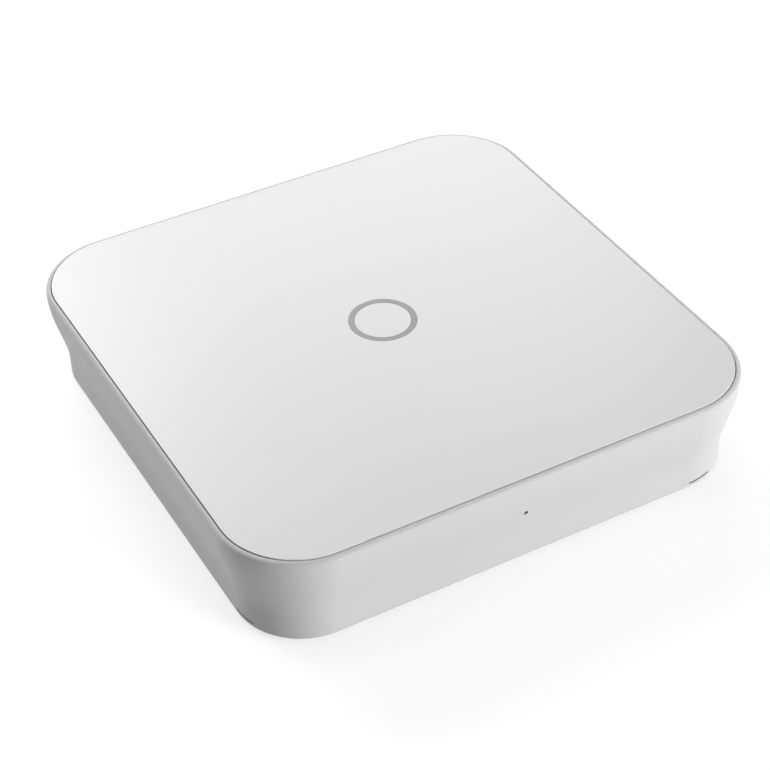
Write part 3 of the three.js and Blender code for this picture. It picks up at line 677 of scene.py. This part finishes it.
def makeStatusRing(values):
    flangeTop = ringLow.z + values["flange"]
    inner = ringOuter - values["width"]
    guide = addCylinder("ring_guide", ringHigh.x, (0, 0, ringLow.z), (0, 0, flangeTop), sides=160)
    edit(guide)
    pick(guide, "faces", facing(2, 1))
    stepFace(ringHigh.x - ringOuter, 0)
    stepFace(0, topZ - flangeTop - values["edge"])
    roundFace(values["edge"], 2)
    stepFace(values["width"] - values["edge"], 0)
    stepFace(0, -values["dish"])
    pick(guide, "faces", facing(2, -1))
    stepFace(ringHigh.x - inner, 0)
    stepFace(0, -values["lightWell"])
    leave()
    finishPiece(guide, "hub_body", "ring_grey", "light_ring")

    radius = inner - values["edge"]
    disc = addCylinder("ring_disc", radius, (0, 0, discLow.z), (0, 0, topZ - values["edge"]), sides=160)
    edit(disc)
    pick(disc, "faces", facing(2, 1))
    roundFace(values["edge"], 2)
    leave()
    finishPiece(disc, "hub_body", "panel_white", "ring_center")


coverValues = {
    "cornerSteps": 24,
    "edge": 0.3 * mm,
    "thickness": 2 * mm,
    "fit": 0.3 * mm,
    "contact": 0.15 * mm,
    "cupRadius": 3.6 * mm,
    "cupHeight": 2.9 * mm,
    "standoffRadius": 3 * mm,
    "standoffHeight": 3.35 * mm,
    "screwHole": 1.6 * mm,
    "rib": 1.2 * mm,
    "ribHeight": 5 * mm,
    "labelRecess": 0.5 * mm,
    "labelCorner": 2 * mm,
    "ventCount": 9,
    "ventPitch": 4.2 * mm,
    "ventMiddle": (26 * mm, -34 * mm),
    "ventSize": (2 * mm, 22 * mm),
    "keyholePlace": (36 * mm, 30 * mm),
    "keyholeHead": 4 * mm,
    "keyholeSlot": 2 * mm,
    "keyholeLength": 8 * mm,
    "soft": 0.2 * mm,
    "slotRound": (0.48, 0.98),      # corner radius of a vent and of a keyhole's slot, to their widths
}


# The lowest and highest point of an upright hole or post.
def upright(spot, low, high):
    return (spot.x, spot.y, low), (spot.x, spot.y, high)


def makeCover(values):
    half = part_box("bottom_cover")[1].x
    inside = undersideZ + values["thickness"]
    plate = addCube("base_cover", (-half, -half, undersideZ + values["edge"]), (half, half, inside))
    edit(plate)
    roundEdges(plate, 2, half - cornerCentre, values["cornerSteps"])
    pick(plate, "faces", facing(2, -1))
    roundFace(values["edge"], 3)
    leave()
    addCoverPosts(plate, values, inside)
    cutCoverHoles(plate, values, inside)
    edit(plate)
    pick(plate, "edges", onUnderside)
    bpy.ops.mesh.bevel(offset=values["soft"], segments=2, profile=0.5, affect="EDGES")
    leave()
    return finishPiece(plate, "hub_body", "cover_white", "bottom_cover")


def onUnderside(edge):
    if any(abs(vert.co.z - undersideZ) > tiny for vert in edge.verts):
        return False
    return edge.calc_face_angle(0) > math.radians(50)


# Inside the cover: a cup under each case screw, the board's standoffs and the rib round the battery.
def addCoverPosts(plate, values, inside):
    foot = inside - mm
    for corner in range(1, 5):
        spot = middleOf(f"case_screw_{corner}")
        ends = upright(spot, foot, inside + values["cupHeight"])
        carve(plate, addCylinder("cut", values["cupRadius"], *ends), "UNION")
        spot = middleOf(f"board_screw_{corner}")
        ends = upright(spot, foot, inside + values["standoffHeight"])
        carve(plate, addCylinder("cut", values["standoffRadius"], *ends), "UNION")
    low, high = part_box("battery_pack")
    room = Vector((mm / 2, mm / 2, 0))
    rib = room + Vector((values["rib"], values["rib"], 0))
    low.z, high.z = foot, inside + values["ribHeight"]
    fence = addRoundedCube("fence", low - rib, high + rib, 2, mm)
    low.z, high.z = foot - mm, high.z + mm
    carve(fence, addCube("cut", low - room, high + room))
    carve(plate, fence, "UNION")


def cutCoverHoles(plate, values, inside):
    under = undersideZ - mm
    for corner in range(1, 5):
        low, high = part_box(f"foot_{corner}")
        spot = (low + high) / 2
        radius = (high.x - low.x) / 2 + values["fit"]
        carve(plate, addCylinder("cut", radius, *upright(spot, under, high.z + values["contact"])))
        low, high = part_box(f"case_screw_{corner}")
        spot = (low + high) / 2
        radius = (high.x - low.x) / 2 + values["fit"]
        carve(plate, addCylinder("cut", radius, *upright(spot, under, inside + values["fit"])))
        carve(plate, addCylinder("cut", values["screwHole"], *upright(spot, inside, high.z)))
    low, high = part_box("rating_plate")
    gap = Vector((values["fit"], values["fit"], 0))
    low.z, high.z = under, undersideZ + values["labelRecess"]
    carve(plate, addRoundedCube("cut", low - gap, high + gap, 2, values["labelCorner"] + values["fit"], 6))
    wide, deep = values["ventSize"]
    ventRound, slotRound = values["slotRound"]
    for index in range(values["ventCount"]):
        x = values["ventMiddle"][0] + (index - (values["ventCount"] - 1) / 2) * values["ventPitch"]
        y = values["ventMiddle"][1]
        first = (x - wide / 2, y - deep / 2, under)
        last = (x + wide / 2, y + deep / 2, inside + mm)
        carve(plate, addRoundedCube("cut", first, last, 2, wide * ventRound, 6))
    y, slot = values["keyholePlace"][1], values["keyholeSlot"]
    for x in (-values["keyholePlace"][0], values["keyholePlace"][0]):
        carve(plate, addCylinder("cut", values["keyholeHead"], (x, y, under), (x, y, inside + mm)))
        end = y + values["keyholeLength"] + slot
        first, last = (x - slot, y - slot, under), (x + slot, end, inside + mm)
        carve(plate, addRoundedCube("cut", first, last, 2, slot * slotRound, 8))


footValues = {
    "edge": 0.5 * mm,
    "grooveIn": 0.9 * mm,
    "groove": 0.6 * mm,
    "grooveDepth": 0.3 * mm,
    "dishIn": 1.4 * mm,
    "dish": 0.15 * mm,
}


def makeFeet(values):
    low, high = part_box("foot_1")
    spot = (low + high) / 2
    radius = (high.x - low.x) / 2
    pad = addCylinder("foot_pad_1", radius, *upright(spot, low.z + values["edge"], high.z))
    edit(pad)
    pick(pad, "faces", facing(2, -1))
    roundFace(values["edge"], 4)
    stepFace(values["grooveIn"], 0)
    stepFace(values["groove"] / 3, -values["grooveDepth"])
    stepFace(values["groove"] / 3, 0)
    stepFace(values["groove"] / 3, values["grooveDepth"])
    stepFace(values["dishIn"], 0)
    stepFace(values["dish"] * 2, -values["dish"])
    leave()
    pads = [pad] + [copyTo(pad, f"foot_pad_{n}", middleOf(f"foot_{n}") - spot) for n in (2, 3, 4)]
    for number, made in enumerate(pads, 1):
        finishPiece(made, "hub_body", "foot_rubber", f"foot_{number}")


screwValues = {
    "headHeight": 1.6 * mm,
    "dome": 0.55 * mm,
    "shank": 1.3 * mm,
    "recess": 0.95 * mm,
    "arm": (1.5 * mm, 0.34 * mm),   # half length and half width of the cross
    "armTaper": 0.62,               # how far the cross narrows towards its floor
    "domeReach": 1.3,               # how far in the dome runs, to its height
    "point": 0.7,                   # how far in the tip narrows, to the shank's radius
}


def makeCoverScrews(values):
    low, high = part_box("case_screw_1")
    spot = (low + high) / 2
    radius = (high.x - low.x) / 2
    headTop = low.z + values["headHeight"]
    screw = addCylinder("cover_screw_1", radius, *upright(spot, low.z + values["dome"], headTop), sides=40)
    edit(screw)
    pick(screw, "faces", facing(2, -1))
    roundFace(values["dome"] * values["domeReach"], 4, values["dome"])
    pick(screw, "faces", facing(2, 1))
    stepFace(radius - values["shank"], 0)
    stepFace(0, high.z - headTop - mm)
    stepFace(values["shank"] * values["point"], mm)
    leave()
    long, wide = values["arm"]
    floorZ = low.z + values["recess"]
    for x, y in ((long, wide), (wide, long)):
        bar = addCube("cut", (spot.x - x, spot.y - y, low.z - mm), (spot.x + x, spot.y + y, floorZ))
        edit(bar)
        pick(bar, "faces", facing(2, 1))
        bpy.ops.transform.resize(value=(values["armTaper"], values["armTaper"], 1))
        leave()
        carve(screw, bar)
    screws = [screw]
    screws += [copyTo(screw, f"cover_screw_{n}", middleOf(f"case_screw_{n}") - spot) for n in (2, 3, 4)]
    for number, made in enumerate(screws, 1):
        finishPiece(made, "hub_body", "steel", f"case_screw_{number}")


def makeRatingLabel():
    low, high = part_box("rating_plate")
    label = addRoundedCube("rating_label", low, high, 2, coverValues["labelCorner"], 6)
    softenEdges(label, labelValues["soft"], 2, 60)
    finishPiece(label, "hub_body", "label_white", "rating_plate")


networkValues = {
    "sheet": 0.4 * mm,
    "mouth": (5.9 * mm, 3.0 * mm, 9.8 * mm),       # half width, bottom and top above the seat
    "latch": (3.1 * mm, 11.9 * mm),                # half width, top
    "key": (1.7 * mm, 12.6 * mm),
    "depth": 13 * mm,
    "setBack": 0.35 * mm,
    "contacts": 8,
    "contactPitch": 1.02 * mm,
    "lampAcross": 5.3 * mm,
    "lampSize": (1.35 * mm, 0.75 * mm),            # half width, half height
    "lampUp": 11.15 * mm,
    "lampOut": 0.2 * mm,
    "lampSoft": 0.15 * mm,
    "canSoft": 0.12 * mm,
    "coreSheet": 0.44 * mm,                        # from the can's outside to the core
    "coreBack": 1.2 * mm,
    "coreSoft": 0.15 * mm,
    "wireHalf": 0.18 * mm,
    "wireTall": 0.3 * mm,
    "wireUp": 0.1 * mm,                            # above the mouth's floor
    "wireStart": (2.2 * mm, 1.4 * mm),             # its first length, behind the core's face
    "wirePath": ((0, -1.2, 0.3), (0, -6, 2.6), (0, -1.0, 0.2), (0, -1.2, -0.8)),   # steps in mm
}


def makeNetworkJack(values):
    low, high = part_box("ethernet_jack")
    middle = (low.x + high.x) / 2
    can = addCube("network_can", low, high)
    edit(can)
    pick(can, "faces", facing(1, 1))
    stepFace(values["sheet"], 0)
    stepFace(0, low.y - high.y + mm)
    leave()
    softenEdges(can, values["canSoft"], 2, 60)
    finishPiece(can, "hub_body", "steel", "ethernet_jack")

    sheet = values["coreSheet"]
    front = high.y - values["setBack"]
    core = addCube("network_core", (low.x + sheet, low.y + values["coreBack"], low.z + sheet),
                   (high.x - sheet, front, high.z - sheet))
    half, bottom, top = values["mouth"]
    back = high.y - values["depth"]
    floorZ = low.z + bottom
    carve(core, addCube("cut", (middle - half, back, floorZ), (middle + half, high.y, low.z + top)))
    for half, top in (values["latch"], values["key"]):
        carve(core, addCube("cut", (middle - half, back, floorZ + mm), (middle + half, high.y, low.z + top)))
    softenEdges(core, values["coreSoft"], 2, 60)
    finishPiece(core, "hub_body", "black_plastic")

    wires = []
    for index in range(values["contacts"]):
        x = middle + (index - (values["contacts"] - 1) / 2) * values["contactPitch"]
        z = floorZ + values["wireUp"]
        thin = values["wireHalf"]
        first, last = values["wireStart"]
        wire = addCube("wire", (x - thin, front - first, z), (x + thin, front - last, z + values["wireTall"]))
        edit(wire)
        for push in values["wirePath"]:
            end = min(vert.co.y for vert in bmesh.from_edit_mesh(wire.data).verts) + tiny
            pick(wire, "faces", lambda face: face.calc_center_median().y < end)
            bpy.ops.mesh.extrude_region_move(TRANSFORM_OT_translate={"value": Vector(push) * mm})
        leave()
        wires.append(wire)
    finishPiece(joinAll(wires, "network_contacts"), "hub_body", "gold")

    long, tall = values["lampSize"]
    lamps = []
    for side in (-1, 1):
        x, z = middle + side * values["lampAcross"], low.z + values["lampUp"]
        face = front + values["lampOut"]
        lamp = addCube("lamp", (x - long, front - mm, z - tall), (x + long, face, z + tall))
        softenEdges(lamp, values["lampSoft"], 3, 60)
        lamps.append(lamp)
    finishPiece(joinAll(lamps, "network_lamps"), "hub_body", "lamp_plastic")


usbValues = {
    "sheet": 0.45 * mm,
    "depth": 12 * mm,
    "corner": 0.7 * mm,
    "tongueHalf": 5.55 * mm,
    "tongue": (3.0 * mm, 4.85 * mm),     # bottom and top above the seat
    "tongueBack": 1.5 * mm,              # behind the mouth
    "tongueIn": 0.05 * mm,               # into the socket's back wall
    "tongueSoft": 0.3 * mm,
    "contacts": 4,
    "contactPitch": 2.3 * mm,
    "contactHalf": 0.5 * mm,
    "contactRun": (8 * mm, 1.2 * mm),    # its two ends, behind the tongue's tip
    "contactOut": 0.12 * mm,
    "contactIn": 0.1 * mm,
    "contactSoft": 0.05 * mm,
}


def makeUsbSocket(values):
    low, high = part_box("usb_port")
    middle = (low.x + high.x) / 2
    can = addRoundedCube("usb_can", low, high, 1, values["corner"], 4)
    edit(can)
    pick(can, "faces", facing(1, 1))
    stepFace(values["sheet"], 0)
    stepFace(0, -values["depth"])
    leave()
    finishPiece(can, "hub_body", "steel", "usb_port")

    bottom, top = low.z + values["tongue"][0], low.z + values["tongue"][1]
    front, back = high.y - values["tongueBack"], high.y - values["depth"] + values["tongueIn"]
    half = values["tongueHalf"]
    tongue = addCube("usb_tongue", (middle - half, back, bottom), (middle + half, front, top))
    softenEdges(tongue, values["tongueSoft"], 3, 60)
    finishPiece(tongue, "hub_body", "black_plastic")

    strips = []
    half = values["contactHalf"]
    far, near = values["contactRun"]
    for index in range(values["contacts"]):
        x = middle + (index - (values["contacts"] - 1) / 2) * values["contactPitch"]
        strip = addCube("strip", (x - half, front - far, bottom - values["contactOut"]),
                        (x + half, front - near, bottom + values["contactIn"]))
        softenEdges(strip, values["contactSoft"], 2, 60)
        strips.append(strip)
    finishPiece(joinAll(strips, "usb_contacts"), "hub_body", "gold")


powerValues = {
    "corner": 0.5 * mm,
    "bore": 3.2 * mm,
    "depth": 9.5 * mm,
    "mouth": 0.5 * mm,
    "ring": 0.7 * mm,
    "pin": 1 * mm,
    "pinBack": 1.0 * mm,
    "pinTip": 0.45 * mm,
    "pinIn": 0.02 * mm,      # into the bore's floor
    "soft": 0.12 * mm,
}


def makePowerSocket(values):
    low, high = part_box("power_jack")
    spot = (low + high) / 2
    block = addRoundedCube("power_block", low, high, 1, values["corner"], 4)
    mouth = (values["bore"] + values["ring"], values["mouth"])
    for radius, deep in (mouth, (values["bore"], values["depth"])):
        first, last = (spot.x, high.y - deep, spot.z), (spot.x, high.y + mm, spot.z)
        carve(block, addCylinder("cut", radius, first, last, "y", 64))
    softenEdges(block, values["soft"], 2, 60)
    finishPiece(block, "hub_body", "black_plastic", "power_jack")

    tip = high.y - values["pinBack"]
    first = (spot.x, high.y - values["depth"] + values["pinIn"], spot.z)
    pin = addCylinder("power_pin", values["pin"], first, (spot.x, tip - values["pinTip"], spot.z), "y", 32)
    edit(pin)
    pick(pin, "faces", facing(1, 1))
    roundFace(values["pinTip"], 5)
    leave()
    finishPiece(pin, "hub_body", "steel")


switchValues = {
    "slotWide": 5.6 * mm,
    "slotTall": 3.0 * mm,
    "slotDeep": 4.7 * mm,
    "knobRidges": 5,
    "ridge": 0.3 * mm,
    "corner": 0.3 * mm,
    "soft": 0.1 * mm,
}


def makePowerSwitch(values):
    low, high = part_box("power_switch")
    spot = (low + high) / 2
    shell = addRoundedCube("switch_shell", low, high, 1, values["corner"], 3)
    wide, tall = values["slotWide"] / 2, values["slotTall"] / 2
    first = (spot.x - wide, high.y - values["slotDeep"], spot.z - tall)
    last = (spot.x + wide, high.y + mm, spot.z + tall)
    carve(shell, addRoundedCube("cut", first, last, 1, values["corner"], 3))
    softenEdges(shell, values["soft"], 2, 60)
    finishPiece(shell, "hub_body", "steel", "power_switch")

    low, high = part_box("power_knob")
    root = high.y - values["ridge"]
    knob = addCube("switch_knob", low, (high.x, root, high.z))
    edit(knob)
    width = (high.x - low.x) / values["knobRidges"]
    for index in range(1, values["knobRidges"]):
        pick(knob, "faces", lambda face: True)
        bpy.ops.mesh.bisect(plane_co=(low.x + index * width, 0, 0), plane_no=(1, 0, 0))
    pick(knob, "faces", lambda face: face.normal.y > 0.9 and isRidge(face, low.x, width))
    bpy.ops.mesh.extrude_region_move(TRANSFORM_OT_translate={"value": (0, values["ridge"], 0)})
    leave()
    softenEdges(knob, values["soft"], 2, 60)
    finishPiece(knob, "power_slide", "black_plastic", "power_knob")


def isRidge(face, start, width):
    return int((face.calc_center_median().x - start) / width) % 2 == 0


plungerValues = {
    "stem": 1.6 * mm,
    "tip": 0.6 * mm,
    "collar": 0.5 * mm,
}


def makeResetPlunger(values):
    low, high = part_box("reset_plunger")
    spot = (low + high) / 2
    collarY = high.y - values["collar"]
    radius = (high.x - low.x) / 2
    plunger = addCylinder("reset_pin", radius, (0, collarY, spot.z), (0, high.y, spot.z), "y", 40)
    edit(plunger)
    pick(plunger, "faces", facing(1, -1))
    stepFace(radius - values["stem"], 0)
    stepFace(0, collarY - low.y - values["tip"])
    roundFace(values["tip"], 5)
    leave()
    finishPiece(plunger, "reset_button", "black_plastic", "reset_plunger")


floorValues = {
    "size": 200,
    "albedo": 0.3,
    "grain": 25 * mm,
    "grainShade": 0.995,
    # glow of the floor near the hub, dimmer than far out: painted shade round the hub
    "shadedGlow": 0.65,
    "farGlow": 1.0,
    "nearRadius": 0.5,
    "farRadius": 1.3,
}


def makeFloor(values):
    bpy.ops.object.select_all(action="DESELECT")
    bpy.ops.mesh.primitive_plane_add(size=values["size"])
    floor = settle("floor")
    look = Look("floor_paper")
    paper = grey(values["albedo"])
    grain = look.noise(values["grain"], 3)
    across, along = look.placeAlong(0), look.placeAlong(1)
    away = look.node("ShaderNodeMath", {"operation": "SQRT"}, {0: across * across + along * along})
    # 0 near the hub and 1 far out: the floor glows less near the hub, a painted shade round it, and full
    #                               white beyond
    far = look.node("ShaderNodeMapRange", {"interpolation_type": "SMOOTHSTEP"}, {
        "Value": away, "From Min": values["nearRadius"], "From Max": values["farRadius"]})
    look.shader.inputs["Emission Strength"].default_value = 1.0
    floor.data.materials.append(look.wear({
        "Base Color": look.blend(grain, tint(paper, values["grainShade"]), paper),
        "Emission Color": look.blend(far, grey(values["shadedGlow"]), grey(values["farGlow"])),
        "Roughness": 0.9,
    }))


addCamera(cameraValues)
addLights(lightValues)
makeFloor(floorValues)
print("camera, lights and floor set")
dressFrame()
makeHousing(housingValues)
print("housing shell made")
makePanel(panelValues)
makeStatusRing(ringValues)
print("panel and status ring made")
makeCover(coverValues)
makeFeet(footValues)
makeCoverScrews(screwValues)
makeRatingLabel()
print("underside made")
makeNetworkJack(networkValues)
makeUsbSocket(usbValues)
makePowerSocket(powerValues)
makePowerSwitch(switchValues)
makeResetPlunger(plungerValues)
print("sockets, switch and reset pin made")
